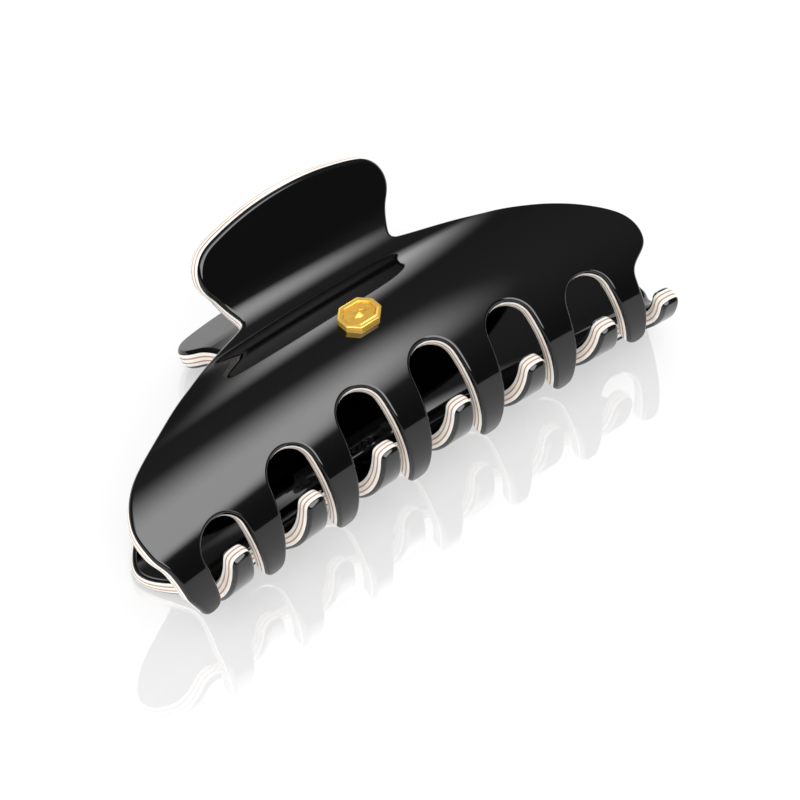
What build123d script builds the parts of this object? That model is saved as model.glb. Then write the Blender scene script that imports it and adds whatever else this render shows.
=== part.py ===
from build123d import *
from math import cos, degrees, radians, sin, sqrt
import os

# Hair claw clip: two curved jaws pressed from laminated acetate sheet, joined by a sprung pin hinge.
# Millimetres. The hinge pin is the X axis, the teeth point towards -Y and the handles towards +Y.
# Each jaw is drawn with the clip's middle plane level. The whole clip is then tilted until it rests on
# the lower jaw's back and the lower handle's tip, and moved so the table is Z = 0 under its middle.

# ---- sheet ----
black_thickness = 0.62          # outer and inner black sheets
cream_thickness = 0.52
tan_thickness = 0.27
layers = {"outer_sheet": black_thickness, "cream_stripe_1": cream_thickness, "tan_stripe_1": tan_thickness,
          "cream_stripe_2": cream_thickness, "tan_stripe_2": tan_thickness, "cream_stripe_3": cream_thickness,
          "inner_sheet": black_thickness}
sheet_thickness = sum(layers.values())

# ---- jaw profile, on the outer face (angles are slopes below level, heading for the teeth) ----
valley_radius = 7.0
valley_height = 7.6             # outer face above the middle plane at the hinge
body_radius = 18.6
tooth_radius = 16.0
back_slope = 38.0               # how steeply the body rises out of the valley
arch_slope = 13.0               # where the body arc hands over to the tooth arc
end_slope = 116.0               # where the uncut sheet ends, past the longest tooth
handle_slope = 48.3
handle_length = 13.0            # straight part of the uncut sheet
bow_radius = 595.0              # the jaw's gentle bend along its length, at the hinge
tooth_bow_radius = 568.0        # the same bend at the teeth, where the pitch is measured

# ---- outline ----
pitch = 14.9
tooth_count = 7
first_tooth = -3.25 * pitch
gap_radius = 4.1
arch_fall = 0.0029              # end arches sit lower by this much per x squared
tooth_lean = 0.4                # tips stand this much to +X of their roots
end_lean = 2.0                  # the first tooth leans in by this much more
notch_x = 15.0
notch_reach = -22.0
handle_tip_x = 21.9             # corner of the handle before rounding
handle_side_x = 17.4            # half width where the handle turns straight
handle_crown = 11.2             # straight length on the centre line
handle_sag = 4.8
handle_corner = 5.4
left_shoulder = [(-27.5, -18.6), (-40.0, -12.0), (-48.8, -7.0), (-52.9, -1.5), (-52.9, 4.0)]
left_side = [(4.0, -52.9), (8.0, -51.3), (14.0, -50.0), (20.0, -48.9), (30.0, -48.4)]
right_side = [(6.4, 43.6), (9.0, 43.1), (14.0, 43.4), (20.0, 44.2), (30.0, 44.4)]
outer_x = 60.0                  # waste beside the end teeth reaches this far out

# ---- where the two jaws differ ----
# reach: arc length from arch_slope to a middle tooth's tip. fall, rise: what a tip loses per x squared and
# gains per x. tip, corner: half width of a tip and the radius of its corners. arch: how far the gaps stop
# short of the arch line. shift: the whole row of teeth along X. shoulder: the body's edge on the +X side.
front_cut = dict(reach=25.2, fall=0.0022, rise=0.0, tip=2.1, corner=2.0, arch=0.0, shift=0.0, shoulder=[
    (27.5, -18.6), (36.5, -12.8), (43.5, -6.8), (47.4, -1.8), (47.4, 3.2), (43.6, 6.4)])
rear_cut = dict(reach=27.6, fall=0.0008, rise=0.035, tip=1.9, corner=0.9, arch=6.5, shift=-0.8, shoulder=[
    (27.5, -19.6), (38.0, -14.6), (45.0, -9.2), (48.4, -4.6), (48.2, -1.0), (45.6, 3.4), (43.6, 6.4)])

# ---- hinge ----
pin_radius = 1.1
running_gap = 0.05
pin_half = 10.0
head_radius = 1.9
head_length = 0.9
cap_end = 0.4
leaf_thickness = 0.8
leaf_half_width = 10.0
leaf_reach = 30.0               # degrees of the valley covered to each side
knuckle_radius = 2.3
knuckle_width = 1.2
web_half = 3.6                  # the web that carries each knuckle widens to this at the plate
web_top = 4.9
leaf_room = 40.0                # height and depth of the block that trims the leaf to width
front_knuckle_x = 9.2
rear_knuckle_x = 7.7
coil_radius = 2.35
wire_radius = 0.45
wire_bead = 0.47                # round swelling where each arm leaves the coil
coil_half = 5.4
coil_turns = 9
arm_slope = 16.0
arm_straight = 7.0
arm_end = (9.6, 8.9)
arm_bend = 2.0
sleeve_radius = 1.6
sleeve_half = 6.6
rivet_x = 2.6
rivet_angle = 22.0
rivet_radius = 0.7
rivet_head_radius = 1.25
rivet_head_length = 0.45
rivet_depth = 2.4

# ---- badge ----
badge_x = -1.5
badge_reach = -9.2
badge_length = 7.2
badge_width = 5.8
badge_cut = 1.75
badge_height = 1.25
badge_rim = 0.9
badge_recess = 0.5
badge_embed = 1.0               # the plate starts this far inside the curved face before it is trimmed to it
facet_half = (1.7, 1.1)
facet_taper = 35.0
stud_radius = 0.6
stud_x = 1.8
stud_depth = 2.6

# ---- place on the table ----
rest_tilt = 9.2                 # degrees the clip is turned so that the table is level
pin_back = 8.53                 # hinge pin behind the middle of the clip's footprint
pin_up = 16.04                  # hinge pin above the table

# ---- derived ----
valley_centre = (0.0, valley_height + valley_radius)
body_start = (-valley_radius * sin(radians(back_slope)),
              valley_centre[1] - valley_radius * cos(radians(back_slope)))
body_centre = (body_start[0] - body_radius * sin(radians(back_slope)),
               body_start[1] - body_radius * cos(radians(back_slope)))
tooth_centre = (body_centre[0] - (body_radius - tooth_radius) * sin(radians(arch_slope)),
                body_centre[1] + (body_radius - tooth_radius) * cos(radians(arch_slope)))
body_arc_length = body_radius * radians(back_slope + arch_slope)
bow_centre = -bow_radius
half_turn = 5.5                 # degrees of bow each way, a little past the ends
spare = 0.8                     # extra thickness of the cut outline beyond both faces
through = 3.0                   # how far cutters stand proud of the sheet on each face
cut_end = 33.0                  # reach where the gap cutters stop, past the end of the sheet
tip_room = 12.0                 # length trimmed off past a tip's centre
tip_spare = 1.5                 # the tip trimmer is this much wider than the tip
keep_half = 30.0                # half height of the upright prisms that cut the outline
keep_front = -50.0              # the body's prism runs from here, beyond the teeth,
keep_back = 2.0                 # to here, inside the handle
neck_top = -4.6                 # the handle's prism narrows to the notch here
neck_bottom = -9.0              # and ends here, inside the body
handle_depth = 12.0             # how far its prism reaches below the handle's face
handle_above = 8.0              # and above it


def arc_point(centre, radius, slope):
    """Point of an outward-curving arc where the sheet slopes down by this much."""
    return (centre[0] - radius * sin(radians(slope)), centre[1] + radius * cos(radians(slope)))


def valley_point(slope, depth):
    """Point of the valley at this rise, counted in degrees towards the handle."""
    radius = valley_radius + depth
    return (valley_centre[0] + radius * sin(radians(slope)), valley_centre[1] - radius * cos(radians(slope)))


def slope_at(reach):
    """Slope of the sheet at this arc length past the arch line."""
    radius = tooth_radius if reach > 0 else body_radius
    return arch_slope + degrees(reach / radius)


def sheet_point(reach, depth=0.0):
    """Profile point (y, z) at an arc length from the arch line, positive towards the teeth."""
    slope = slope_at(reach)
    if reach > 0:
        return arc_point(tooth_centre, tooth_radius - depth, slope)
    if reach > -body_arc_length:
        return arc_point(body_centre, body_radius - depth, slope)
    rise = degrees((-body_arc_length - reach) / valley_radius) - back_slope
    return valley_point(rise, depth)


def bowed(x, y, z):
    """A profile point carried sideways along the jaw's gentle bend."""
    turn = x / tooth_bow_radius
    out = y - bow_centre
    return (out * sin(turn), bow_centre + out * cos(turn), z)


def skin_plane(x, y, z, slope):
    """Plane on the sheet, local x along the jaw, facing outwards at this slope."""
    turn = x / tooth_bow_radius
    facing = (-sin(radians(slope)) * sin(turn), -sin(radians(slope)) * cos(turn), cos(radians(slope)))
    return Plane(origin=bowed(x, y, z), x_dir=(cos(turn), -sin(turn), 0), z_dir=facing)


def cross_plane(x, slope):
    """Plane through the tooth arc's centre line, local x along the jaw and local y outwards."""
    turn = x / tooth_bow_radius
    along = (-cos(radians(slope)) * sin(turn), -cos(radians(slope)) * cos(turn), -sin(radians(slope)))
    return Plane(origin=bowed(x, *tooth_centre), x_dir=(cos(turn), -sin(turn), 0), z_dir=along)


def start_plane():
    """Plane of the profile at the -X end of the bow, local x towards the handles."""
    turn = radians(-half_turn)
    return Plane(origin=(bow_radius * sin(turn), bow_centre + bow_radius * cos(turn), 0),
                 x_dir=(sin(turn), cos(turn), 0), z_dir=(cos(turn), -sin(turn), 0))


def arc_points(place, first, last):
    """Start, middle and end of an arc, from the function that places a point at each slope."""
    return [place(slope) for slope in (first, (first + last) / 2, last)]


def profile_line(depth):
    """Draws the whole profile at one depth and returns its tooth end and handle end."""
    tooth = arc_points(lambda slope: arc_point(tooth_centre, tooth_radius - depth, slope), end_slope, arch_slope)
    body = arc_points(lambda slope: arc_point(body_centre, body_radius - depth, slope), arch_slope, -back_slope)
    valley = arc_points(lambda slope: valley_point(slope, depth), -back_slope, handle_slope)
    ThreePointArc(*tooth)
    ThreePointArc(*body)
    ThreePointArc(*valley)
    turn = valley_point(handle_slope, depth)
    tip = (turn[0] + handle_length * cos(radians(handle_slope)),
           turn[1] + handle_length * sin(radians(handle_slope)))
    Line(turn, tip)
    return arc_point(tooth_centre, tooth_radius - depth, end_slope), tip


def valley_line(depth):
    """Draws the part of the valley a hinge leaf covers and returns its two ends."""
    points = arc_points(lambda s: valley_point(s, depth), -leaf_reach, leaf_reach)
    ThreePointArc(*points)
    return points[0], points[2]


def bent_sheet(shallow, deep, draw=profile_line):
    """Solid between two depths of the sheet."""
    with BuildPart() as solid:
        with BuildSketch(start_plane()):
            with BuildLine():
                near = draw(shallow)
                far = draw(deep)
                Line(near[0], far[0])
                Line(near[1], far[1])
            make_face()
        revolve(axis=Axis((0, bow_centre, 0), (0, 0, -1)), revolution_arc=2 * half_turn)
    return solid.part


def plan(x, reach):
    """Outline point seen from above, from its place along the jaw and along the sheet."""
    out = sheet_point(reach)[0] - bow_centre
    return (x, bow_centre + sqrt(out ** 2 - x ** 2))


def tooth_x(index):
    return first_tooth + index * pitch


def tip_x(index, cut):
    return tooth_x(index) + cut["shift"] + tooth_lean + (end_lean if index == 0 else 0)


def tip_centre_reach(index, cut):
    x = tooth_x(index)
    return cut["reach"] - cut["fall"] * x ** 2 + cut["rise"] * x - cut["tip"]


def radial_waste(x_mid, sides):
    """Block that follows the tooth arc. Each station gives its reach and its two sides."""
    with BuildPart() as block:
        for reach, low, high in sides:
            with BuildSketch(cross_plane(x_mid, slope_at(reach))):
                with Locations(((low + high) / 2 - x_mid, tooth_radius - sheet_thickness / 2)):
                    Rectangle(high - low, sheet_thickness + 2 * through)
        loft(ruled=True)
    return block.part


def gap_waste(index, cut):
    """Arch-topped gap between a tooth and the one before it."""
    x = tooth_x(index) - pitch / 2 + cut["shift"]
    arch = gap_radius + cut["arch"] + arch_fall * x ** 2
    tips = (tip_centre_reach(index, cut) + tip_centre_reach(index - 1, cut)) / 2
    low = tip_x(index - 1, cut) + cut["tip"]
    high = tip_x(index, cut) - cut["tip"]
    middle = (arch + tips) / 2
    sides = [(arch, x - gap_radius, x + gap_radius),
             (middle, (x - gap_radius + low) / 2, (x + gap_radius + high) / 2),
             (tips, low, high),
             (cut_end, low, high)]
    with BuildPart() as waste:
        add(radial_waste(x, sides))
        with BuildSketch(skin_plane(x, *sheet_point(arch), slope_at(arch))):
            Circle(gap_radius)
        extrude(amount=sheet_thickness + through, both=True)
    return waste.part


def tip_waste(index, cut):
    """What is cut off to leave a round-cornered tip."""
    reach = tip_centre_reach(index, cut)
    width = 2 * cut["tip"]
    with BuildPart() as waste:
        with BuildSketch(skin_plane(tip_x(index, cut), *sheet_point(reach), slope_at(reach))):
            Rectangle(width + tip_spare, tip_room, align=(Align.CENTER, Align.MAX))
            RectangleRounded(width, width, cut["corner"], mode=Mode.SUBTRACT)
        extrude(amount=3 * sheet_thickness, both=True)
    return waste.part


def body_outline(cut):
    """Prism that keeps the dome of the body and all the teeth."""
    left = [plan(-notch_x, notch_reach)] + [plan(x, reach) for x, reach in left_shoulder]
    right = [plan(notch_x, notch_reach)] + [plan(x, reach) for x, reach in cut["shoulder"]]
    with BuildPart() as keep:
        with BuildSketch(Plane.XY.offset(-keep_half)):
            with BuildLine():
                Spline(*left)
                Spline(*right)
                Polyline(left[-1], (left[-1][0], keep_front), (right[-1][0], keep_front), right[-1])
                Polyline(left[0], (left[0][0], keep_back), (right[0][0], keep_back), right[0])
            make_face()
        extrude(amount=2 * keep_half)
    return keep.part


def handle_outline():
    """Prism that keeps the handle, square to its face."""
    shoulder = handle_crown - handle_sag
    corners = [(-handle_tip_x, shoulder), (handle_tip_x, shoulder)]
    with BuildPart() as keep:
        face = skin_plane(0, *valley_point(handle_slope, 0), handle_slope)
        with BuildSketch(face.offset(-handle_depth)) as outline:
            with BuildLine():
                Polyline(corners[0], (-handle_side_x, 0), (-notch_x, neck_top), (-notch_x, neck_bottom),
                         (notch_x, neck_bottom), (notch_x, neck_top), (handle_side_x, 0), corners[1])
                ThreePointArc(corners[1], (0, handle_crown), corners[0])
            make_face()
            fillet(outline.vertices().filter_by(lambda v: abs(abs(v.X) - handle_tip_x) < 0.01), handle_corner)
        extrude(amount=handle_depth + handle_above)
    return keep.part


def jaw_outline(cut):
    """The jaw cut to shape, a little thicker than the sheet on both faces."""
    with BuildPart() as keep:
        add(body_outline(cut))
        add(handle_outline())
    with BuildPart() as jaw:
        add(bent_sheet(-spare, sheet_thickness + spare))
        add(keep.part, mode=Mode.INTERSECT)
        for index in range(1, tooth_count):
            add(gap_waste(index, cut), mode=Mode.SUBTRACT)
        for index in range(tooth_count):
            add(tip_waste(index, cut), mode=Mode.SUBTRACT)
        left = [(reach, -outer_x, x) for reach, x in left_side]
        right = [(reach, x, outer_x) for reach, x in right_side]
        add(radial_waste(left[-1][2], left), mode=Mode.SUBTRACT)
        add(radial_waste(right[-1][1], right), mode=Mode.SUBTRACT)
    return jaw.part


def valley_place(x, rise, depth):
    """Plane in the valley, facing out through the sheet."""
    origin = bowed(x, *valley_point(rise, depth))
    turn = x / tooth_bow_radius
    return Plane(origin=origin, x_dir=(cos(turn), -sin(turn), 0),
                 z_dir=(-sin(radians(rise)) * sin(turn), -sin(radians(rise)) * cos(turn), cos(radians(rise))))


def rivet_places(depth):
    return [valley_place(x, rise, depth) for x in (-rivet_x, rivet_x) for rise in (-rivet_angle, rivet_angle)]


def badge_plane():
    return skin_plane(badge_x, *sheet_point(badge_reach), slope_at(badge_reach))


def studs():
    with BuildPart() as pair:
        with BuildSketch(badge_plane().offset(-stud_depth)):
            with Locations((-stud_x, 0), (stud_x, 0)):
                Circle(stud_radius)
        extrude(amount=stud_depth + badge_height / 2)
    return pair.part


def rivets():
    """Four rivets, heads on the hinge leaf and shanks in the sheet."""
    seat = sheet_thickness + leaf_thickness
    with BuildPart() as set_of_four:
        for place in rivet_places(seat):
            with BuildSketch(place):
                Circle(rivet_radius)
            extrude(amount=leaf_thickness + rivet_depth)
            with BuildSketch(place.offset(-rivet_head_length)):
                Circle(rivet_head_radius)
            extrude(amount=rivet_head_length)
    return set_of_four.part


def leaf(knuckle_x):
    """Hinge leaf: a plate bent to the inside of the valley, with two knuckles round the pin."""
    clear = valley_radius + sheet_thickness + leaf_thickness / 2
    with BuildPart() as plate:
        add(bent_sheet(sheet_thickness, sheet_thickness + leaf_thickness, valley_line))
        Box(2 * leaf_half_width, leaf_room, leaf_room, mode=Mode.INTERSECT)
        for x in (-knuckle_x, knuckle_x):
            with BuildSketch(Plane.YZ.offset(x - knuckle_width / 2)):
                Circle(knuckle_radius)
                Polygon((-knuckle_radius, 0), (knuckle_radius, 0), (web_half, web_top), (-web_half, web_top),
                        align=None)
                with Locations(valley_centre):
                    Circle(clear, mode=Mode.SUBTRACT)
            extrude(amount=knuckle_width)
        Cylinder(pin_radius + running_gap, 3 * leaf_half_width, rotation=(0, 90, 0), mode=Mode.SUBTRACT)
        add(rivets(), mode=Mode.SUBTRACT)
    return plate.part


def hinge_pin():
    with BuildPart() as pin:
        with BuildSketch(Plane.YZ.offset(-pin_half)):
            Circle(pin_radius)
        extrude(amount=2 * pin_half + head_length)
        with BuildSketch(Plane.YZ.offset(-pin_half - head_length)):
            Circle(head_radius)
        extrude(amount=head_length)
        fillet(pin.faces().sort_by(Axis.X)[0].edges(), head_length / 2)
    return pin.part


def pin_cap():
    with BuildPart() as cap:
        with BuildSketch(Plane.YZ.offset(pin_half)):
            Circle(head_radius)
        extrude(amount=head_length + cap_end)
        with BuildSketch(Plane.YZ.offset(pin_half)):
            Circle(pin_radius)
        extrude(amount=head_length, mode=Mode.SUBTRACT)
        fillet(cap.faces().sort_by(Axis.X)[-1].edges(), head_length / 2)
    return cap.part


def spring_sleeve():
    with BuildPart() as sleeve:
        with BuildSketch(Plane.YZ.offset(-sleeve_half)):
            Circle(sleeve_radius)
            Circle(pin_radius + running_gap, mode=Mode.SUBTRACT)
        extrude(amount=2 * sleeve_half)
    return sleeve.part


def spring_arm():
    """Arm of the spring that presses on the upper jaw."""
    slope = radians(arm_slope)
    start = (-coil_radius * sin(slope), coil_radius * cos(slope))
    knee = (start[0] + arm_straight * cos(slope), start[1] + arm_straight * sin(slope))
    with BuildPart() as arm:
        with BuildLine(Plane.YZ.offset(coil_half)):
            FilletPolyline(start, knee, arm_end, radius=arm_bend)
        with BuildSketch(Plane(origin=(coil_half, *start), z_dir=(0, cos(slope), sin(slope)))):
            Circle(wire_radius)
        sweep()
        with Locations((coil_half, *start)):
            Sphere(wire_bead)
    return arm.part


def torsion_spring():
    start_angle = radians(-90 - arm_slope)
    turns = coil_turns - (180 + 2 * arm_slope) / 360
    arm = spring_arm()
    coil = Helix(pitch=2 * coil_half / turns, height=2 * coil_half, radius=coil_radius, lefthand=True)
    coil_start = (0, cos(start_angle), sin(start_angle))
    coil_plane = Plane(origin=(-coil_half, 0, 0), x_dir=coil_start, z_dir=(1, 0, 0))
    with BuildPart() as spring:
        with BuildLine() as path:
            add(coil_plane.location * coil)
        with BuildSketch(Plane(origin=path.line @ 0, z_dir=path.line % 0)):
            Circle(wire_radius)
        sweep()
        add(arm)
        add(turned_over(arm))
    return spring.part


def octagon(length, width, cut):
    """Long eight-sided outline with its corners cut."""
    x, y = length / 2, width / 2
    Polygon((x, y - cut), (x - cut, y), (cut - x, y), (-x, y - cut),
            (-x, cut - y), (cut - x, -y), (x - cut, -y), (x, cut - y), align=None)


def badge_plate():
    with BuildPart() as plate:
        with BuildSketch(badge_plane().offset(-badge_embed)):
            octagon(badge_length, badge_width, badge_cut)
        extrude(amount=badge_embed + badge_height)
        with BuildSketch(badge_plane().offset(badge_height - badge_recess)):
            octagon(badge_length - 2 * badge_rim, badge_width - 2 * badge_rim, badge_cut - badge_rim / 2)
        extrude(amount=badge_recess, mode=Mode.SUBTRACT)
        add(bent_sheet(0, sheet_thickness), mode=Mode.SUBTRACT)
        add(studs())
    return plate.part


def badge_inlay():
    """Panel in the plate's recess, with a raised four-sided facet."""
    with BuildPart() as inlay:
        with BuildSketch(badge_plane().offset(badge_height - badge_recess)):
            octagon(badge_length - 2 * badge_rim, badge_width - 2 * badge_rim, badge_cut - badge_rim / 2)
        extrude(amount=badge_recess / 2)
        with BuildSketch(badge_plane().offset(badge_height - badge_recess / 2)):
            x, y = facet_half
            Polygon((x, 0), (0, y), (-x, 0), (0, -y), align=None)
        extrude(amount=badge_recess, taper=facet_taper)
    return inlay.part


def turned_over(solid):
    """Rear pieces are made where the front ones are, then turned half a turn about the Y axis."""
    return solid.moved(Location((0, 0, 0), (0, 180, 0)))


def save(solid, name):
    with BuildPart() as piece:
        add(solid.moved(Location((0, pin_back, pin_up), (rest_tilt, 0, 0))))
    piece.part.label = name
    export_step(piece.part, "parts/" + name + ".step")


os.makedirs("parts", exist_ok=True)

front_outline = jaw_outline(front_cut)
rear_outline = jaw_outline(rear_cut)
rivet_set = rivets()
stud_pair = studs()
depth = 0.0
for layer, thickness in layers.items():
    with BuildPart() as drilled:
        add(bent_sheet(depth, depth + thickness))
        add(rivet_set, mode=Mode.SUBTRACT)
    with BuildPart() as front:
        add(drilled.part)
        add(front_outline, mode=Mode.INTERSECT)
        add(stud_pair, mode=Mode.SUBTRACT)
    with BuildPart() as rear:
        add(drilled.part)
        add(rear_outline, mode=Mode.INTERSECT)
    save(front.part, "front_" + layer)
    save(turned_over(rear.part), "rear_" + layer)
    depth += thickness

save(leaf(front_knuckle_x), "front_hinge_leaf")
save(turned_over(leaf(rear_knuckle_x)), "rear_hinge_leaf")
save(rivet_set, "front_rivets")
save(turned_over(rivet_set), "rear_rivets")
save(hinge_pin(), "hinge_pin")
save(pin_cap(), "pin_cap")
save(spring_sleeve(), "spring_sleeve")
save(torsion_spring(), "torsion_spring")
save(badge_plate(), "badge_plate")
save(badge_inlay(), "badge_inlay")
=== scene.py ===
import math

import bmesh
import bpy
import numpy as np
from mathutils import Matrix, Vector
from mathutils.geometry import delaunay_2d_cdt


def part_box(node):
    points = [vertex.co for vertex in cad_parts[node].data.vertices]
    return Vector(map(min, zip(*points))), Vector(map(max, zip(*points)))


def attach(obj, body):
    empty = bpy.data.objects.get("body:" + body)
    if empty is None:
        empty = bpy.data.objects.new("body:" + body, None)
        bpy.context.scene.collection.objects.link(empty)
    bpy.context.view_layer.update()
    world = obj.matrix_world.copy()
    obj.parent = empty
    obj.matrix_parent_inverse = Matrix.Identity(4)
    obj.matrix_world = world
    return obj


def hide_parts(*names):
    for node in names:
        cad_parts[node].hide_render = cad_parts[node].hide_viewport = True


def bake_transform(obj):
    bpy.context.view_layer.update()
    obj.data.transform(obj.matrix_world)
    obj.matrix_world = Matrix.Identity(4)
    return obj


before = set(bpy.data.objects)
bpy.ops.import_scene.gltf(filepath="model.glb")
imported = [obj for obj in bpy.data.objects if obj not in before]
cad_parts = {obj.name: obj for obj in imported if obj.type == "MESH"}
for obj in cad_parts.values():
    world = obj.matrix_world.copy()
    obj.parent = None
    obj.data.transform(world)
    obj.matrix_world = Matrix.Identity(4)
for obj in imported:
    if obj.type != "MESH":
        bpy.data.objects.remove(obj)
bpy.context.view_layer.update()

# Hair claw clip. Each jaw is one flat outline of laminated acetate, bent through a profile and a gentle bow.
#
# Jaw dimensions are millimetres in the jaw frame: the hinge pin is the X axis, teeth towards -Y, handles
# towards +Y and the clip's middle plane level. A point of the flat jaw is (x, reach): reach runs along the
# sheet from the arch line, positive towards the teeth. Depth runs from the outer face into the sheet.
# to_row() turns jaw millimetres into metres in the row frame. The studio is in metres in the row frame.

MM = 0.001
REST_TILT = math.radians(9.2)   # how far the jaw frame is turned so that the table is level
PIN = (0.0, 8.53, 16.04)        # hinge pin in the row frame, in millimetres, with the table at Z = 0

# ---- sheet ----
BLACK = 0.62
CREAM = 0.52
TAN = 0.27
STRIPES = ["cream_stripe_1", "tan_stripe_1", "cream_stripe_2", "tan_stripe_2", "cream_stripe_3"]
THICKNESS = 2 * BLACK + 3 * CREAM + 2 * TAN
EDGE_INSET = 0.8                # how far the tumbled edge draws back at the two faces
EDGE_POWER = 2.2                # its section: 2 is an ellipse, more is squarer

# ---- profile ----
VALLEY_RADIUS = 7.0             # the fold between body and handle
VALLEY_HEIGHT = 7.6
BODY_RADIUS = 18.6
TOOTH_RADIUS = 16.0
BACK_SLOPE = math.radians(38.0)
ARCH_SLOPE = math.radians(13.0)
HANDLE_SLOPE = math.radians(48.3)
BOW_RADIUS = 595.0              # how the whole jaw curves from end to end

# ---- outline ----
PITCH = 14.9
TEETH = 7
FIRST_TOOTH = -3.25 * PITCH
GAP_RADIUS = 4.1
ARCH_FALL = 0.0029              # the gaps' tops follow a parabola with this factor
TOOTH_LEAN = 0.4
END_LEAN = 2.0                  # extra lean of the first tooth
NOTCH = (15.0, -22.0)           # where the body's outline meets the handle's
HANDLE_TIP_X = 21.9
HANDLE_SIDE_X = 17.4
HANDLE_CROWN = 11.2
HANDLE_SAG = 4.8
HANDLE_CORNER = 5.4
LEFT_SHOULDER = [(-27.5, -18.6), (-40.0, -12.0), (-48.8, -7.0), (-52.9, -1.5), (-52.9, 4.0)]
LEFT_SIDE = [(-51.3, 8.0), (-50.0, 14.0)]
RIGHT_SIDE = [(43.4, 14.0), (43.1, 9.0)]

# Where the two jaws differ. Teeth end at reach - fall * x^2 + rise * x, in a tip of half width "tip" with
# rounded corners. "arch" is added to the reach of the gaps' tops. Teeth and gaps move along X by "shift".
FRONT_CUT = {
    "reach": 25.2, "fall": 0.0022, "rise": 0.0, "tip": 2.1, "corner": 2.0, "arch": 0.0, "shift": 0.0,
    "shoulder": [(27.5, -18.6), (36.5, -12.8), (43.5, -6.8), (47.4, -1.8), (47.4, 3.2), (43.6, 6.4)],
}
REAR_CUT = {
    "reach": 27.6, "fall": 0.0008, "rise": 0.035, "tip": 1.9, "corner": 0.9, "arch": 6.5, "shift": -0.8,
    "shoulder": [(27.5, -19.6), (38.0, -14.6), (45.0, -9.2), (48.4, -4.6), (48.2, -1.0), (45.6, 3.4),
                 (43.6, 6.4)],
}

# ---- mesh density ----
OUTLINE_STEP = 0.5
OUTLINE_EASING = 3              # smoothing passes over the outline's kinks
GRID_X = 1.5
GRID_REACH = 0.9
GRID_MARGIN = 0.45
CORNER_STEPS = 8                # stations of the rounded edge in each black sheet
TIP_STEPS = 6
GAP_STEPS = 17
HANDLE_CORNER_STEPS = 9
CROWN_STEPS = 25
BEVEL_STEPS = 5
ARM_STEPS = 6
ARM_BEND_STEPS = 7
COIL_STEPS = 28                 # stations per turn of the spring
WIRE_SIDES = 12

# ---- badge ----
BADGE_X = -1.5
BADGE_REACH = -9.2
BADGE_LENGTH = 7.2
BADGE_WIDTH = 5.8
BADGE_CUT = 1.75
BADGE_CUT_SHARE = 0.6           # how much of an inset the cut corners lose
BADGE_CORNER = 0.22
BADGE_HEIGHT = 1.25
BADGE_SINK = 0.75               # how far its foot reaches into the curved sheet
BADGE_FOOT = (0.1, 0.02)        # (inset, height) where it leaves the sheet
BADGE_SIDE = 0.02               # inset below the bevel
BADGE_BEVEL = 0.16
BADGE_RIM = 0.9
BADGE_RECESS = 0.5
BADGE_LIP = [(-0.12, 0.0), (-0.03, -0.05), (0.0, -0.14)]    # inner edge of the rim: (inset, height)
BADGE_DRAFT = 0.04              # inset of the rim's inner wall at the recess's floor
INLAY_GAP = 0.06
INLAY_CHAMFER = (0.06, 0.04)
FACET_HALF = (1.7, 1.1)
FACET_RISE = 0.38
FACET_POINT = 0.01              # radius of the facet's blunt point

# ---- spring ----
COIL_RADIUS = 2.35
WIRE_RADIUS = 0.45
COIL_HALF = 5.4
COIL_TURNS = 9
ARM_SLOPE = math.radians(16.0)
ARM_STRAIGHT = 7.0
ARM_END = (9.6, 8.9)
ARM_BEND = 2.0
WIRE_DOME = [(0.35, 0.30), (0.8, 0.12)]     # rounding of the wire's ends: (radius, height), in wire radii

# ---- finishes ----
ACETATE_IOR = 1.5
METALLIC = 0.6                  # below 1, so that the metal isn't black where the studio is dim
NYLON_ROUGHNESS = 0.45

# ---- table and studio ----
FLOOR_HALF = 3.0
FLOOR_CELLS = 8
FLOOR_MIRROR = 0.18             # share of the floor's brightness that is a sharp reflection
FLOOR_LIT = 0.6                 # share of the rest that glows, as a table lit from below
FLOOR_GLOW = 1.09
FLOOR_TINTS = [(0.0, (0.915, 0.915, 0.92)), (1.0, (0.935, 0.935, 0.935))]
FLOOR_CLOUDS = 3.0
ROOM_WHITE = 1.15
ROOM_GREYS = [(0.0, 0.10), (0.35, 0.14), (0.7, 0.24), (1.0, 0.34)]     # (height, grey) seen by the clip
ROOM_BLUE = 0.005               # added to the blue of each grey
KEY_PLACE = (-0.25, -0.2, 0.6)
KEY_SIZE = 0.5
KEY_POWER = 1.2
PANELS = {
    # A wide sheet of light over the teeth, ending in a soft edge to the right and behind.
    "front_panel": {"centre": (-0.13, -0.332, 0.266), "normal": (0, 0, -1), "upright": (0, 1, 0),
                    "width": 0.56, "height": 0.86, "strength": 6.3,
                    "fades": [("X", 0.0, 0.09), ("X", 1.0, 0.86), ("Y", 1.0, 0.80), ("Y", 0.0, 0.06)]},
    # A narrow upright strip behind the hinge.
    "back_panel": {"centre": (0.148, 0.308, 0.156), "normal": (0, -1, 0), "upright": (0, 0, 1),
                   "width": 0.13, "height": 0.42, "strength": 4.2,
                   "fades": [("X", 0.0, 0.5), ("X", 1.0, 0.5), ("Y", 1.0, 0.55), ("Y", 0.0, 0.25)]},
}

# ---- camera ----
CAMERA_AZIMUTH = math.radians(-42.6)
CAMERA_ELEVATION = math.radians(52.1)
CAMERA_ROLL = math.radians(3.9)
CAMERA_DISTANCE = 0.449
CAMERA_AIM = (0.0005, -0.0126, 0.0126)
CAMERA_LENS = 127.0
CAMERA_SENSOR = 36.0
CAMERA_CLIP = (0.01, 20.0)


def facing(angle):
    """Outward direction in the profile plane where the sheet slopes down by this angle."""
    return np.stack([-np.sin(angle), np.cos(angle)], -1)


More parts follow.
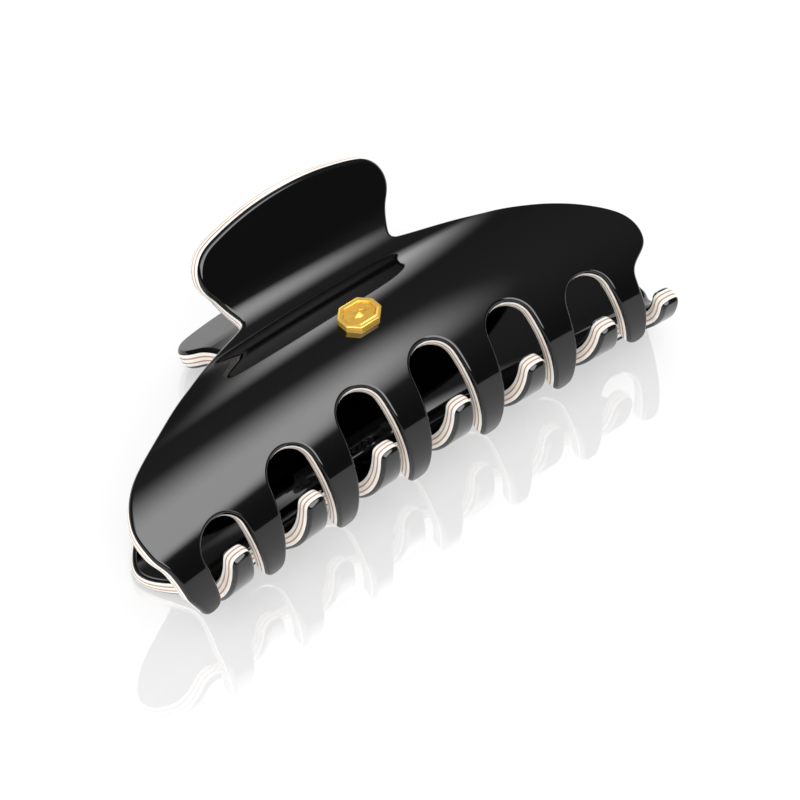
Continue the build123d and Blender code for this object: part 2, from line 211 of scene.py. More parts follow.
# ---- derived ----
VALLEY_CENTRE = np.array([0.0, VALLEY_HEIGHT + VALLEY_RADIUS])
BODY_CENTRE = VALLEY_CENTRE - (VALLEY_RADIUS + BODY_RADIUS) * facing(-BACK_SLOPE)
TOOTH_CENTRE = BODY_CENTRE + (BODY_RADIUS - TOOTH_RADIUS) * facing(ARCH_SLOPE)
BODY_START = -BODY_RADIUS * (BACK_SLOPE + ARCH_SLOPE)
HANDLE_START = BODY_START - VALLEY_RADIUS * (BACK_SLOPE + HANDLE_SLOPE)


# ---------------------------------------------------------------- sheet shape

def profile(reach, depth):
    """Profile points and outward directions at a reach and a depth."""
    reach = np.asarray(reach, float)
    depth = np.broadcast_to(np.asarray(depth, float), reach.shape)[..., None]
    climb = np.minimum((BODY_START - reach) / VALLEY_RADIUS - BACK_SLOPE, HANDLE_SLOPE)
    angle = np.where(reach > 0, ARCH_SLOPE + reach / TOOTH_RADIUS, ARCH_SLOPE + reach / BODY_RADIUS)
    angle = np.where(reach < BODY_START, climb, angle)
    out = facing(angle)
    tooth = TOOTH_CENTRE + (TOOTH_RADIUS - depth) * out
    body = BODY_CENTRE + (BODY_RADIUS - depth) * out
    beyond = np.maximum(HANDLE_START - reach, 0.0)[..., None]
    along = np.stack([np.cos(angle), np.sin(angle)], -1)
    valley = VALLEY_CENTRE - (VALLEY_RADIUS + depth) * out + beyond * along
    point = np.where(reach[..., None] > 0, tooth, body)
    point = np.where(reach[..., None] < BODY_START, valley, point)
    return point, out


def sheet(x, reach, depth):
    """Points, outward normals, and the directions along X and towards the teeth, on the bowed sheet."""
    x = np.asarray(x, float)
    skin, _ = profile(reach, 0.0)
    point, out = profile(reach, depth)
    turn = np.arcsin(x / (skin[..., 0] + BOW_RADIUS))
    swing = point[..., 0] + BOW_RADIUS
    place = np.stack([swing * np.sin(turn), swing * np.cos(turn) - BOW_RADIUS, point[..., 1]], -1)
    normal = np.stack([out[..., 0] * np.sin(turn), out[..., 0] * np.cos(turn), out[..., 1]], -1)
    sideways = np.stack([np.cos(turn), -np.sin(turn), np.zeros_like(turn)], -1)
    forward = np.cross(sideways, normal)
    return place, normal, sideways, forward


def turned(directions, rear=False):
    """Directions from the jaw frame to the row frame. The rear jaw is the front one turned over about Y."""
    directions = np.asarray(directions, float)
    if rear:
        directions = directions * np.array([-1.0, 1.0, -1.0])
    c, s = math.cos(REST_TILT), math.sin(REST_TILT)
    return directions @ np.array([[1, 0, 0], [0, c, s], [0, -s, c]])


def to_row(points, rear=False):
    """Points from the jaw frame in millimetres to the row frame in metres."""
    return (turned(points, rear) + PIN) * MM


# ---------------------------------------------------------------- outline of the flat jaw

def arc(centre, radius, first, last, steps):
    """Points of an arc between two angles in degrees."""
    angles = np.radians(np.linspace(first, last, steps))
    return np.stack([centre[0] + radius * np.cos(angles), centre[1] + radius * np.sin(angles)], -1)


def quadratic(a, knee, b, steps):
    """Points of a quadratic curve from a to b that rounds the corner at the knee."""
    return [(1 - t) ** 2 * a + 2 * t * (1 - t) * knee + t ** 2 * b for t in np.linspace(0, 1, steps)]


def smooth_through(points, steps=12):
    """Catmull-Rom curve through a few points."""
    p = np.array(points, float)
    p = np.vstack([2 * p[0] - p[1], p, 2 * p[-1] - p[-2]])
    t = np.linspace(0, 1, steps, endpoint=False)[:, None]
    curve = []
    for a, b, c, d in zip(p[:-3], p[1:-2], p[2:-1], p[3:]):
        square = (2 * a - 5 * b + 4 * c - d) * t ** 2
        cube = (3 * b - a - 3 * c + d) * t ** 3
        curve.append(0.5 * (2 * b + (c - a) * t + square + cube))
    return np.vstack(curve + [p[-2:-1]])


def tooth_x(index):
    """Middle of a tooth's root, before the jaw's own shift."""
    return FIRST_TOOTH + index * PITCH


def tip_centre(index, cut):
    """Centre (x, reach) of a tooth's tip."""
    x = tooth_x(index)
    lean = TOOTH_LEAN + (END_LEAN if index == 0 else 0)
    return x + cut["shift"] + lean, cut["reach"] - cut["fall"] * x ** 2 + cut["rise"] * x - cut["tip"]


def tip_outline(index, cut):
    """The two rounded corners of a tooth's tip."""
    x, reach = tip_centre(index, cut)
    flat = cut["tip"] - cut["corner"]
    first = arc((x - flat, reach + flat), cut["corner"], 180, 90, TIP_STEPS)
    return np.vstack([first, arc((x + flat, reach + flat), cut["corner"], 90, 0, TIP_STEPS)])


def teeth_outline(cut):
    """From the first tip to the last, with an arch-topped gap between each pair."""
    parts = [tip_outline(0, cut)]
    for index in range(1, TEETH):
        middle = tooth_x(index) - PITCH / 2 + cut["shift"]
        arch = (middle, GAP_RADIUS + cut["arch"] + ARCH_FALL * middle ** 2)
        parts.append(arc(arch, GAP_RADIUS, -180, 0, GAP_STEPS))
        parts.append(tip_outline(index, cut))
    return np.vstack(parts)


def handle_outline():
    """Right side, rounded corner, crown and left side of the handle, starting near the right notch."""
    crown_radius = (HANDLE_TIP_X ** 2 + HANDLE_SAG ** 2) / (2 * HANDLE_SAG)
    crown_centre = np.array([0.0, HANDLE_CROWN - crown_radius])
    foot = np.array([HANDLE_SIDE_X, 0.0])
    side = np.array([HANDLE_TIP_X, HANDLE_CROWN - HANDLE_SAG]) - foot
    side /= np.linalg.norm(side)
    inward = np.array([-side[1], side[0]])
    # The corner's circle touches the side from inside and the crown from inside.
    start = foot + HANDLE_CORNER * inward - crown_centre
    room = (crown_radius - HANDLE_CORNER) ** 2 - start @ start + (start @ side) ** 2
    centre = crown_centre + start - side * (start @ side) + side * math.sqrt(room)
    out = centre - crown_centre
    end_angle = math.degrees(math.atan2(out[1], out[0]))
    side_angle = math.degrees(math.atan2(-inward[1], -inward[0]))
    corner = arc(centre, HANDLE_CORNER, side_angle, end_angle, HANDLE_CORNER_STEPS)
    crown = arc(crown_centre, crown_radius, end_angle, 180 - end_angle, CROWN_STEPS)
    half = np.vstack([foot, corner])
    points = np.vstack([half, crown[1:-1], half[::-1] * [-1, 1]])
    return points * [1, -1] + [0, HANDLE_START]


def resample(points, step):
    """Evenly spaced points on a closed line."""
    closed = np.vstack([points, points[:1]])
    lengths = np.concatenate([[0], np.cumsum(np.linalg.norm(np.diff(closed, axis=0), axis=1))])
    places = np.linspace(0, lengths[-1], int(lengths[-1] / step), endpoint=False)
    return np.stack([np.interp(places, lengths, closed[:, i]) for i in (0, 1)], -1)


def jaw_outline(cut):
    """Closed outline (x, reach) of the flat jaw, with its kinks eased, and its outward directions."""
    left = smooth_through([(-NOTCH[0], NOTCH[1])] + LEFT_SHOULDER + LEFT_SIDE)
    right = smooth_through(RIGHT_SIDE + cut["shoulder"][::-1] + [NOTCH])
    line = resample(np.vstack([left, teeth_outline(cut), right, handle_outline()]), OUTLINE_STEP)
    for _ in range(OUTLINE_EASING):
        line = (np.roll(line, 1, 0) + 2 * line + np.roll(line, -1, 0)) / 4
    along = np.roll(line, -1, 0) - np.roll(line, 1, 0)
    along /= np.linalg.norm(along, axis=1)[:, None]
    # The line runs clockwise, so outside is on its left.
    return line, np.stack([-along[:, 1], along[:, 0]], -1)


def inside(points, ring):
    """Which points lie inside a closed ring."""
    x, y = points[:, 0:1], points[:, 1:2]
    ax, ay = ring[:, 0], ring[:, 1]
    bx, by = np.roll(ax, -1), np.roll(ay, -1)
    spans = (ay > y) != (by > y)
    crossing = ax + (y - ay) * (bx - ax) / np.where(by == ay, 1e-12, by - ay)
    return np.sum(spans & (x < crossing), axis=1) % 2 == 1


def fill_points(ring):
    """Staggered grid points inside the ring, kept clear of its edge."""
    low, high = ring.min(0), ring.max(0)
    xs = np.arange(low[0], high[0], GRID_X)
    grid = []
    for row, reach in enumerate(np.arange(low[1], high[1], GRID_REACH)):
        grid += [(x + (row % 2) * GRID_X / 2, reach) for x in xs]
    grid = np.array(grid)
    grid = grid[inside(grid, ring)]
    gap = np.min(np.linalg.norm(grid[:, None] - ring[None], axis=2), axis=1)
    return grid[gap > GRID_MARGIN]


def fill_faces(ring, grid):
    """Triangles that fill the ring through the grid points, as indices into ring then grid."""
    points = [Vector(p) for p in np.vstack([ring, grid])]
    _, _, faces, origins, _, _ = delaunay_2d_cdt(points, [], [list(range(len(ring)))], 1, 1e-6)
    source = [o[0] for o in origins]
    return [[source[i] for i in face] for face in faces]


def flat_jaw(cut):
    """Everything flat that the layers of one jaw share: outline, outward directions, grid and fill."""
    outline, outward = jaw_outline(cut)
    ring = outline - outward * EDGE_INSET
    grid = fill_points(ring)
    return outline, outward, grid, fill_faces(ring, grid)


# ---------------------------------------------------------------- meshes

def make_object(name, points, faces, loop_normals=None, material=None):
    """Smooth-shaded mesh object, with its own corner normals if they are given."""
    mesh = bpy.data.meshes.new(name)
    mesh.from_pydata([tuple(p) for p in points], [], [list(f) for f in faces])
    mesh.polygons.foreach_set("use_smooth", [True] * len(mesh.polygons))
    if loop_normals is not None:
        mesh.normals_split_custom_set([tuple(n) for n in loop_normals])
    mesh.update()
    piece = bpy.data.objects.new(name, mesh)
    bpy.context.scene.collection.objects.link(piece)
    if material is not None:
        mesh.materials.append(material)
    return piece


def wall_faces(rings, count):
    """Quads between successive rings of equal count."""
    faces = []
    for start in range(0, (rings - 1) * count, count):
        for i in range(count):
            j = (i + 1) % count
            faces.append([start + i, start + j, start + count + j, start + count + i])
    return faces


def stack_rings(name, rings, material):
    """Closed solid through a stack of rings of equal count, the first and last capped."""
    count = len(rings[0])
    points = np.vstack(rings)
    caps = [list(range(count))[::-1], [len(points) - count + i for i in range(count)]]
    return make_object(name, points, caps + wall_faces(len(rings), count), material=material)


def shade_by_angle(piece, degrees):
    """Sharp edges where the faces turn by more than this."""
    mesh = bmesh.new()
    mesh.from_mesh(piece.data)
    bmesh.ops.recalc_face_normals(mesh, faces=mesh.faces)
    for edge in mesh.edges:
        edge.smooth = edge.calc_face_angle(0) < math.radians(degrees)
    mesh.to_mesh(piece.data)
    mesh.free()


def face_outwards(points, faces, loops):
    """Turns each face so that its winding agrees with its corner normals."""
    facing_out, kept, at = [], [], 0
    for face in faces:
        own = loops[at:at + len(face)]
        at += len(face)
        a, b, c = points[face[0]], points[face[1]], points[face[2]]
        if np.dot(np.cross(b - a, c - a), own[0] + own[1] + own[2]) < 0:
            face, own = face[::-1], own[::-1]
        facing_out.append(face)
        kept += own
    return facing_out, kept


# ---------------------------------------------------------------- layers of the laminate

def edge_station(depth):
    """Inset, depth and tilt of the rounded edge at one depth. The tilt is 0 on the outer face."""
    share = 2 * depth / THICKNESS - 1
    out = max(1 - abs(share) ** EDGE_POWER, 0.0) ** (1 / EDGE_POWER)
    along = out ** (EDGE_POWER - 1) / EDGE_INSET
    across = math.copysign(abs(share) ** (EDGE_POWER - 1), share) / (THICKNESS / 2)
    return EDGE_INSET * (1 - out), depth, math.atan2(along, -across)


def layer_stations(index):
    """Stations of the rounded edge that belong to one layer, the outer face's side first."""
    corner = [BLACK * (step / CORNER_STEPS) ** 2 for step in range(CORNER_STEPS + 1)]
    if index == 0:
        return [edge_station(depth) for depth in corner]
    if index == len(STRIPES) + 1:
        return [edge_station(THICKNESS - depth) for depth in corner[::-1]]
    thicknesses = [CREAM if name.startswith("cream") else TAN for name in STRIPES]
    start = BLACK + sum(thicknesses[:index - 1])
    return [edge_station(start), edge_station(start + thicknesses[index - 1])]


def edge_ring(outline, outward, station):
    """Points, edge normals and face normals of the outline at one station of the rounded edge."""
    inset, depth, tilt = station
    flat = outline - outward * inset
    place, normal, sideways, forward = sheet(flat[:, 0], flat[:, 1], depth)
    side = outward[:, 0:1] * sideways + outward[:, 1:2] * forward
    return place, math.cos(tilt) * normal + math.sin(tilt) * side, normal


def build_layer(name, index, flat, rear, material):
    """One sheet of the laminate as a closed mesh with exact normals: two filled faces and an edge."""
    outline, outward, grid, fill = flat
    count = len(outline)
    stations = layer_stations(index)
    rings = [edge_ring(outline, outward, station) for station in stations]
    fills = [sheet(grid[:, 0], grid[:, 1], station[1])[:2] for station in (stations[0], stations[-1])]
    points = np.vstack([ring[0] for ring in rings] + [place for place, _ in fills])
    edge_normals = np.vstack([ring[1] for ring in rings])

    faces, loops = [], []
    grid_start = len(rings) * count
    ends = ((0, grid_start, rings[0][2], fills[0][1], 1),
            (grid_start - count, grid_start + len(grid), rings[-1][2], fills[1][1], -1))
    for first_edge, first_inner, edge_side, inner_side, sign in ends:
        numbers = [first_edge + i for i in range(count)] + [first_inner + i for i in range(len(grid))]
        normals = sign * np.vstack([edge_side, inner_side])
        for face in fill:
            faces.append([numbers[i] for i in face])
            loops += [normals[i] for i in face]
    for quad in wall_faces(len(rings), count):
        faces.append(quad)
        loops += [edge_normals[i] for i in quad]

    faces, loops = face_outwards(points, faces, loops)
    return make_object(name, to_row(points, rear), faces, turned(loops, rear), material)


# ---------------------------------------------------------------- materials

def new_material(name):
    """Node material with its nodes, links, shader and object coordinates."""
    material = bpy.data.materials.new(name)
    material.use_nodes = True
    nodes, links = material.node_tree.nodes, material.node_tree.links
    place = nodes.new("ShaderNodeTexCoord")
    return material, nodes, links, nodes["Principled BSDF"], place.outputs["Object"]


def noise(nodes, links, place, scale, detail=2.0):
    """Cloudy noise between 0 and 1. The scale is in cells per metre."""
    node = nodes.new("ShaderNodeTexNoise")
    node.inputs["Scale"].default_value = scale
    node.inputs["Detail"].default_value = detail
    links.new(place, node.inputs["Vector"])
    return node.outputs["Fac"]


def ramp(nodes, links, source, stops):
    """Colour ramp from (position, colour) stops."""
    node = nodes.new("ShaderNodeValToRGB")
    elements = node.color_ramp.elements
    elements[0].position, elements[0].color = stops[0][0], (*stops[0][1], 1)
    elements[1].position, elements[1].color = stops[-1][0], (*stops[-1][1], 1)
    for position, colour in stops[1:-1]:
        elements.new(position).color = (*colour, 1)
    links.new(source, node.inputs["Fac"])
    return node.outputs["Color"]


def map_range(nodes, links, value, low, high, sockets="To", interpolation="LINEAR"):
    """Maps 0 to 1 onto low to high, or, with sockets "From", low to high onto 0 to 1."""
    node = nodes.new("ShaderNodeMapRange")
    node.interpolation_type = interpolation
    node.inputs[sockets + " Min"].default_value = low
    node.inputs[sockets + " Max"].default_value = high
    links.new(value, node.inputs["Value"])
    return node.outputs["Result"]


def clouded(nodes, links, place, scale, dark, light, spread):
    """Colour that drifts between two tones, each reached this far from the middle of the noise."""
    cloud = noise(nodes, links, place, scale)
    return ramp(nodes, links, cloud, [(0.5 - spread, dark), (0.5 + spread, light)])


def uneven_polish(nodes, links, place, scale, roughness, spread):
    """Roughness that varies by this share of itself."""
    wear = noise(nodes, links, place, scale)
    return map_range(nodes, links, wear, roughness * (1 - spread), roughness * (1 + spread))


def acetate(name, dark, light, roughness, grain):
    """Polished cellulose acetate: faint cloudiness in the colour and in the polish."""
    material, nodes, links, shader, place = new_material(name)
    links.new(clouded(nodes, links, place, grain, dark, light, spread=0.15), shader.inputs["Base Color"])
    polish = uneven_polish(nodes, links, place, grain * 3, roughness, spread=0.2)
    links.new(polish, shader.inputs["Roughness"])
    shader.inputs["IOR"].default_value = ACETATE_IOR
    return material


def metal(name, dark, light, roughness, grain):
    """Plated or bare metal, lightly stained, with a finer variation in its polish."""
    material, nodes, links, shader, place = new_material(name)
    links.new(clouded(nodes, links, place, grain, dark, light, spread=0.2), shader.inputs["Base Color"])
    polish = uneven_polish(nodes, links, place, grain * 6, roughness, spread=0.1)
    links.new(polish, shader.inputs["Roughness"])
    shader.inputs["Metallic"].default_value = METALLIC
    return material


def moulded_nylon(name, dark, light, grain):
    """Dull dark plastic."""
    material, nodes, links, shader, place = new_material(name)
    links.new(clouded(nodes, links, place, grain, dark, light, spread=0.2), shader.inputs["Base Color"])
    shader.inputs["Roughness"].default_value = NYLON_ROUGHNESS
    return material


# Keys are the record's material slots.
finishes = {
    "black_acetate": acetate("black_acetate", (0.0001, 0.0001, 0.0001), (0.0004, 0.0004, 0.0004), 0.06, 60),
    "cream_acetate": acetate("cream_acetate", (0.86, 0.83, 0.77), (0.93, 0.91, 0.86), 0.12, 300),
    "tan_acetate": acetate("tan_acetate", (0.42, 0.25, 0.17), (0.50, 0.31, 0.22), 0.12, 300),
    "hinge_steel": metal("hinge_steel", (0.60, 0.60, 0.61), (0.66, 0.66, 0.66), 0.3, 120),
    "pin_steel": metal("pin_steel", (0.68, 0.68, 0.69), (0.74, 0.74, 0.74), 0.22, 120),
    "spring_steel": metal("spring_steel", (0.58, 0.58, 0.59), (0.66, 0.66, 0.67), 0.24, 200),
    "gold_plate": metal("gold_plate", (0.90, 0.55, 0.10), (0.95, 0.60, 0.13), 0.2, 150),
    "gold_panel": metal("gold_panel", (0.80, 0.46, 0.07), (0.86, 0.51, 0.09), 0.26, 150),
    "nylon": moulded_nylon("nylon", (0.02, 0.02, 0.022), (0.035, 0.035, 0.04), 900),
}


# ---------------------------------------------------------------- jaws

for jaw, rear, cut in (("front", False, FRONT_CUT), ("rear", True, REAR_CUT)):
    flat = flat_jaw(cut)
    for index, layer in enumerate(["outer_sheet"] + STRIPES + ["inner_sheet"]):
        colour = "black" if layer.endswith("sheet") else layer.split("_")[0]
        slot = colour + "_acetate"
        piece = build_layer(jaw + "_" + layer + "_shaped", index, flat, rear, finishes[slot])
        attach(piece, jaw + "_jaw")
        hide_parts(jaw + "_" + layer)


# ---------------------------------------------------------------- badge

def octagon_ring(length, width, cut, steps=4):
    """Eight-sided ring with small rounded corners, in the badge's own plane."""
    x, y = length / 2, width / 2
    corners = np.array([(x, cut - y), (x, y - cut), (x - cut, y), (cut - x, y),
                        (-x, y - cut), (-x, cut - y), (cut - x, -y), (x - cut, -y)])
    ring = []
    for i, here in enumerate(corners):
        before = corners[i - 1] - here
        after = corners[(i + 1) % len(corners)] - here
        a = here + before / np.linalg.norm(before) * BADGE_CORNER
        b = here + after / np.linalg.norm(after) * BADGE_CORNER
        ring += quadratic(a, here, b, steps)
    return np.array(ring)


def badge_place(flat, height):
    """Points in the badge's plane, at a height above the sheet, in the row frame."""
    origin, normal, sideways, forward = sheet(BADGE_X, BADGE_REACH, 0.0)
    lift = np.full((len(flat), 1), float(height))
    return to_row(origin + flat[:, 0:1] * sideways - flat[:, 1:2] * forward + lift * normal)


def badge_rings(levels):
    """The badge's octagon at each (inset, height)."""
    rings = []
    for inset, height in levels:
        length, width = BADGE_LENGTH - 2 * inset, BADGE_WIDTH - 2 * inset
        rings.append(badge_place(octagon_ring(length, width, BADGE_CUT - BADGE_CUT_SHARE * inset), height))
    return rings


def build_badge_plate():
    """Octagonal plate with a bevelled rim around a sunk floor."""
    levels = [(BADGE_FOOT[0], -BADGE_SINK), BADGE_FOOT]
    for t in np.linspace(0, 1, BEVEL_STEPS):
        turn = t * math.pi / 2
        height = BADGE_HEIGHT - BADGE_BEVEL * (1 - math.sin(turn))
        levels.append((BADGE_SIDE + BADGE_BEVEL * (1 - math.cos(turn)), height))
    levels += [(BADGE_RIM + inset, BADGE_HEIGHT + height) for inset, height in BADGE_LIP]
    levels.append((BADGE_RIM + BADGE_DRAFT, BADGE_HEIGHT - BADGE_RECESS))
    plate = stack_rings("badge_plate_shaped", badge_rings(levels), finishes["gold_plate"])
    shade_by_angle(plate, degrees=35)
    return plate


def build_badge_inlay():
    """Panel with a raised four-sided facet, sunk in the plate."""
    floor = BADGE_HEIGHT - BADGE_RECESS
    top = floor + BADGE_RECESS / 2
    inset = BADGE_RIM + INLAY_GAP
    rings = badge_rings([(inset, floor), (inset, top - INLAY_CHAMFER[1]), (inset + INLAY_CHAMFER[0], top)])
    x, y = octagon_ring(BADGE_LENGTH, BADGE_WIDTH, BADGE_CUT).T
    angles = np.arctan2(y, x)
    for size, height in ((1.0, top), (0.0, top + FACET_RISE)):
        spread = size / (np.abs(np.cos(angles)) / FACET_HALF[0] + np.abs(np.sin(angles)) / FACET_HALF[1])
        spread = np.maximum(spread, FACET_POINT)
        rings.append(badge_place(np.stack([spread * np.cos(angles), spread * np.sin(angles)], -1), height))
    inlay = stack_rings("badge_inlay_shaped", rings, finishes["gold_panel"])
    shade_by_angle(inlay, degrees=20)
    return inlay


badge = (("badge_plate", "gold_plate", build_badge_plate), ("badge_inlay", "gold_panel", build_badge_inlay))
for node, slot, build in badge:
    piece = build()
    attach(piece, "front_jaw")
    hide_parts(node)


# ---------------------------------------------------------------- spring

def arm_path():
    """(y, z) points of the arm that presses on the front jaw, from the coil outwards."""
    start = np.array([-COIL_RADIUS * math.sin(ARM_SLOPE), COIL_RADIUS * math.cos(ARM_SLOPE)])
    along = np.array([math.cos(ARM_SLOPE), math.sin(ARM_SLOPE)])
    knee = start + ARM_STRAIGHT * along
    end = np.array(ARM_END)
    onward = (end - knee) / np.linalg.norm(end - knee)
    turn = math.acos(np.clip(along @ onward, -1, 1))
    cut = ARM_BEND * math.tan(turn / 2)
    a, b = knee - along * cut, knee + onward * cut
    # The straight stops short of the bend, whose first point is its end.
    straight = [start + (a - start) * t for t in np.linspace(0, 0.9, ARM_STEPS)]
    return np.array(straight + quadratic(a, knee, b, ARM_BEND_STEPS) + [end])


def spring_path():
    """Centre line of the wire: lower arm, coil, upper arm."""
    arm = arm_path()
    upper = np.column_stack([np.full(len(arm), COIL_HALF), arm])
    lower = upper * [-1, 1, -1]
    turns = COIL_TURNS - 0.5 - ARM_SLOPE / math.pi
    share = np.linspace(0, 1, int(turns * COIL_STEPS))
    angle = -math.pi / 2 - ARM_SLOPE - 2 * math.pi * turns * share
    round_y, round_z = COIL_RADIUS * np.cos(angle), COIL_RADIUS * np.sin(angle)
    coil = np.stack([(2 * share - 1) * COIL_HALF, round_y, round_z], -1)
    return np.vstack([lower[::-1], coil[1:-1], upper])


def tube(name, path, radius, sides, material):
    """Round wire along a path, with slightly domed ends."""
    tangents = np.gradient(path, axis=0)
    tangents /= np.linalg.norm(tangents, axis=1)[:, None]
    turns = np.linspace(0, 2 * math.pi, sides, endpoint=False)[:, None]
    around = []
    ahead = np.cross(tangents[0], [1.0, 0.0, 0.0])
    for tangent in tangents:
        ahead = ahead - tangent * (ahead @ tangent)
        ahead /= np.linalg.norm(ahead)
        around.append(np.cos(turns) * ahead + np.sin(turns) * np.cross(tangent, ahead))
    levels = [place + circle * radius for place, circle in zip(path, around)]
    for share, out in WIRE_DOME[::-1]:
        levels.insert(0, path[0] - tangents[0] * radius * out + around[0] * radius * share)
        levels.append(path[-1] + tangents[-1] * radius * out + around[-1] * radius * share)
    return stack_rings(name, [to_row(level) for level in levels], material)


spring = tube("torsion_spring_wound", spring_path(), WIRE_RADIUS, WIRE_SIDES, finishes["spring_steel"])
shade_by_angle(spring, degrees=60)
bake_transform(spring)
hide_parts("torsion_spring")


# ---------------------------------------------------------------- hinge hardware, shown as its CAD nodes

hardware = {
    "hinge_steel": ["front_hinge_leaf", "rear_hinge_leaf", "front_rivets", "rear_rivets"],
    "pin_steel": ["hinge_pin", "pin_cap"],
    "nylon": ["spring_sleeve"],
}
for slot, names in hardware.items():
    for node in names:
        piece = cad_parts[node]
        piece.data.materials.clear()
        piece.data.materials.append(finishes[slot])


# ---------------------------------------------------------------- table and studio

def ray_kind(nodes, name):
    """1 for rays of the named kind, else 0."""
    return nodes.new("ShaderNodeLightPath").outputs[name]


def maths(nodes, links, operation, a, b):
    """Result of a math node whose operands are numbers or sockets."""
    node = nodes.new("ShaderNodeMath")
    node.operation = operation
    for socket, value in zip(node.inputs, (a, b)):
        if isinstance(value, (int, float)):
            socket.default_value = value
        else:
            links.new(value, socket)
    return node.outputs[0]


def mixed(nodes, links, share, first, second):
    """Mix of two shaders. The share, a number or a socket, is the second one's."""
    mix = nodes.new("ShaderNodeMixShader")
    if isinstance(share, (int, float)):
        mix.inputs[0].default_value = share
    else:
        links.new(share, mix.inputs[0])
    links.new(first.outputs[0], mix.inputs[1])
    links.new(second.outputs[0], mix.inputs[2])
    return mix


def floor_material():
    """Pale table lit evenly, partly from below, with a faint sharp reflection."""
    material, nodes, links, shader, place = new_material("pale_floor")
    nodes.remove(shader)
    tint = ramp(nodes, links, noise(nodes, links, place, FLOOR_CLOUDS), FLOOR_TINTS)
    matt = nodes.new("ShaderNodeBsdfDiffuse")
    links.new(tint, matt.inputs["Color"])
    glow = nodes.new("ShaderNodeEmission")
    glow.inputs["Strength"].default_value = FLOOR_GLOW
    links.new(tint, glow.inputs["Color"])
    mirror = nodes.new("ShaderNodeBsdfGlossy")
    mirror.inputs["Roughness"].default_value = 0.0
    surface = mixed(nodes, links, FLOOR_LIT, matt, glow)
    surface = mixed(nodes, links, FLOOR_MIRROR, surface, mirror)
    links.new(surface.outputs[0], nodes["Material Output"].inputs["Surface"])
    material.cycles.emission_sampling = "NONE"
    return material


def build_floor(height):
    """Level table top at the clip's lowest point."""
    steps = np.linspace(-FLOOR_HALF, FLOOR_HALF, FLOOR_CELLS + 1)
    points = [(x, y, height) for y in steps for x in steps]
    row = len(steps)
    corners = [r * row + c for r in range(FLOOR_CELLS) for c in range(FLOOR_CELLS)]
    faces = [[i, i + 1, i + row + 1, i + row] for i in corners]
    make_object("floor", points, faces, material=floor_material())


def panel_material(name, strength, fades):
    """Glow that fades towards the panel's edges and that sharp mirror reflections don't see.
    Each fade is (axis, position of the dark end, position of the bright end)."""
    material = bpy.data.materials.new(name)
    material.use_nodes = True
    nodes, links = material.node_tree.nodes, material.node_tree.links
    nodes.remove(nodes["Principled BSDF"])
    split = nodes.new("ShaderNodeSeparateXYZ")
    links.new(nodes.new("ShaderNodeTexCoord").outputs["UV"], split.inputs[0])
    glow = strength
    for axis, low, high in fades:
        fade = map_range(nodes, links, split.outputs[axis], low, high, "From", "SMOOTHSTEP")
        glow = maths(nodes, links, "MULTIPLY", fade, glow)
    emission = nodes.new("ShaderNodeEmission")
    links.new(glow, emission.inputs["Strength"])
    clear = nodes.new("ShaderNodeBsdfTransparent")
    lit = nodes.new("ShaderNodeAddShader")
    links.new(emission.outputs[0], lit.inputs[0])
    links.new(clear.outputs[0], lit.inputs[1])
    surface = mixed(nodes, links, ray_kind(nodes, "Is Singular Ray"), lit, clear)
    links.new(surface.outputs[0], nodes["Material Output"].inputs["Surface"])
    material.cycles.emission_sampling = "NONE"
    return material


def build_panel(name, centre, normal, upright, width, height, strength, fades):
    """Glowing panel seen only in the clip's reflections."""
    centre, normal = Vector(centre), Vector(normal).normalized()
    across = Vector(upright).cross(normal).normalized()
    up = normal.cross(across)
    sides = ((-1, -1), (1, -1), (1, 1), (-1, 1))
    corners = [centre + across * x * width / 2 + up * y * height / 2 for x, y in sides]
    panel = make_object(name, corners, [[0, 1, 2, 3]], material=panel_material(name, strength, fades))
    uv = panel.data.uv_layers.new(name="panel")
    for loop, (x, y) in zip(uv.data, sides):
        loop.uv = ((x + 1) / 2, (y + 1) / 2)
    panel.visible_camera = False
    panel.visible_diffuse = False
    panel.visible_shadow = False


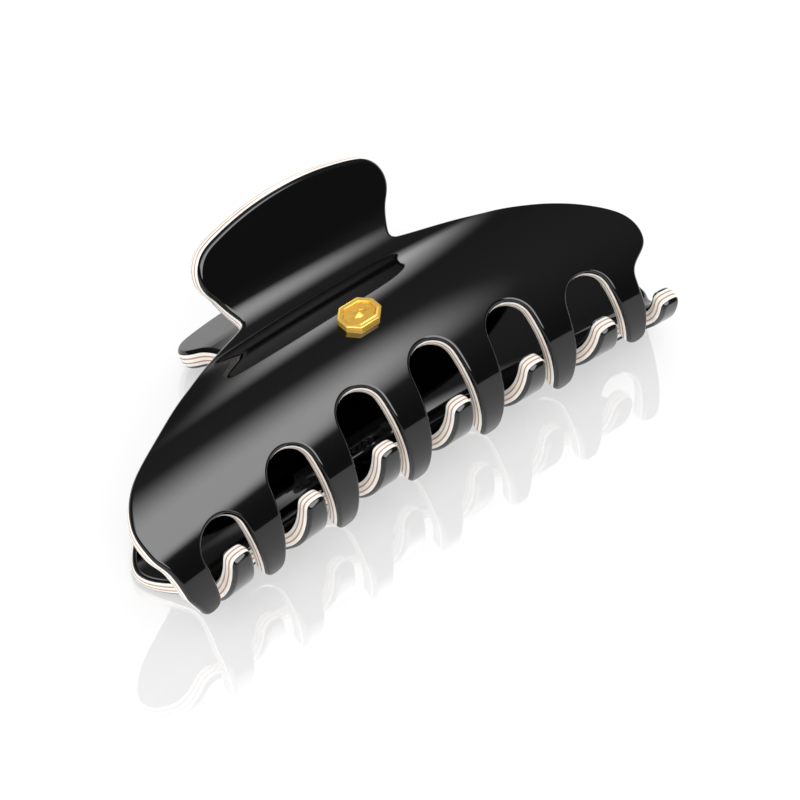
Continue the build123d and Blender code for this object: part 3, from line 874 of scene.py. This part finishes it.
def build_world():
    """White for the camera, diffuse light and the table's reflection, and a dim room for the clip's gloss."""
    world = bpy.data.worlds.new("studio")
    bpy.context.scene.world = world
    world.use_nodes = True
    nodes, links = world.node_tree.nodes, world.node_tree.links
    split = nodes.new("ShaderNodeSeparateXYZ")
    links.new(nodes.new("ShaderNodeTexCoord").outputs["Generated"], split.inputs[0])
    stops = [(height, (grey, grey, grey + ROOM_BLUE)) for height, grey in ROOM_GREYS]
    room = ramp(nodes, links, split.outputs["Z"], stops)
    glossy, singular = ray_kind(nodes, "Is Glossy Ray"), ray_kind(nodes, "Is Singular Ray")
    rough = maths(nodes, links, "MAXIMUM", maths(nodes, links, "SUBTRACT", glossy, singular), 0.0)
    mix = nodes.new("ShaderNodeMix")
    mix.data_type = "RGBA"
    links.new(rough, mix.inputs["Factor"])
    # The Mix node has its sockets once per data type: 6 and 7 are colours A and B, and output 2 is colour.
    mix.inputs[6].default_value = (ROOM_WHITE, ROOM_WHITE, ROOM_WHITE, 1)
    links.new(room, mix.inputs[7])
    links.new(mix.outputs[2], nodes["Background"].inputs["Color"])
    world.cycles.sampling_method = "NONE"


def build_key_light():
    """Large soft lamp above the left end, for a little direction in the shading of the edges."""
    lamp = bpy.data.lights.new("key", "AREA")
    lamp.shape = "RECTANGLE"
    lamp.size, lamp.size_y = KEY_SIZE, KEY_SIZE
    lamp.energy = KEY_POWER
    key = bpy.data.objects.new("key", lamp)
    bpy.context.scene.collection.objects.link(key)
    key.location = KEY_PLACE
    key.rotation_mode = "QUATERNION"
    key.rotation_quaternion = (-Vector(KEY_PLACE)).to_track_quat("-Z", "Y")
    key.visible_glossy = False


def build_camera():
    """High, from the front left, nearly level, with a long lens."""
    sin_a, cos_a = math.sin(CAMERA_AZIMUTH), math.cos(CAMERA_AZIMUTH)
    sin_e, cos_e = math.sin(CAMERA_ELEVATION), math.cos(CAMERA_ELEVATION)
    back = Vector((sin_a * cos_e, -cos_a * cos_e, sin_e))
    level = Vector((cos_a, sin_a, 0))
    right = math.cos(CAMERA_ROLL) * level + math.sin(CAMERA_ROLL) * back.cross(level)
    data = bpy.data.cameras.new("camera")
    data.lens, data.sensor_width = CAMERA_LENS, CAMERA_SENSOR
    data.clip_start, data.clip_end = CAMERA_CLIP
    camera = bpy.data.objects.new("camera", data)
    bpy.context.scene.collection.objects.link(camera)
    turn = Matrix((right, back.cross(right), back)).transposed().to_4x4()
    camera.matrix_world = Matrix.Translation(Vector(CAMERA_AIM) + back * CAMERA_DISTANCE) @ turn
    bpy.context.scene.camera = camera


build_floor(min(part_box("rear_outer_sheet")[0].z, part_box("rear_inner_sheet")[0].z))
build_world()
build_key_light()
for name, panel in PANELS.items():
    build_panel(name, **panel)
build_camera()
bpy.context.scene.view_settings.view_transform = "Standard"
